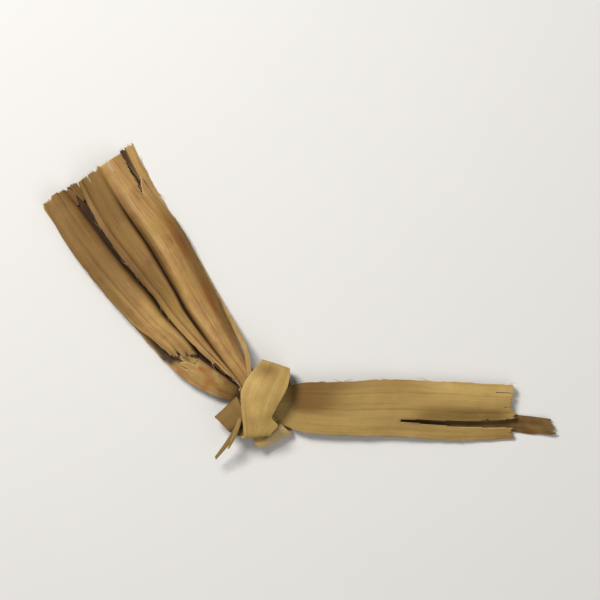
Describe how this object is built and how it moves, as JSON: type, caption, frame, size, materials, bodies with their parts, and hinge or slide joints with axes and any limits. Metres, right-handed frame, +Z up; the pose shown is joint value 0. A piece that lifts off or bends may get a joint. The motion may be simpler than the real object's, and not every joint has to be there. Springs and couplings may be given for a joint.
{
  "type": "knotted dried leaf strip",
  "caption": "Dried banana leaf strip torn lengthwise into ribbons and tied in a flat overhand knot, with a pleated fanned tail and a long flat tail.",
  "frame": {"origin": "centre of the bottom of the bounding box, on the surface the leaf lies on", "axes": "+X from the fanned tail's side towards the tip of the flat right tail, +Y towards the fanned tail's cut end, +Z up out of the surface, through the knot's front wrap"},
  "size_m": [0.1084, 0.0666, 0.0089],
  "materials": {
    "wide_ribbon": "satin",
    "side_ribbon": "satin",
    "narrow_strand": "satin",
    "inner_vein": "matte"
  },
  "bodies": {
    "root": {"wide_ribbon": "wide_ribbon", "side_ribbon": "side_ribbon", "narrow_strand": "narrow_strand", "inner_vein": "inner_vein"}
  },
  "joints": []
}
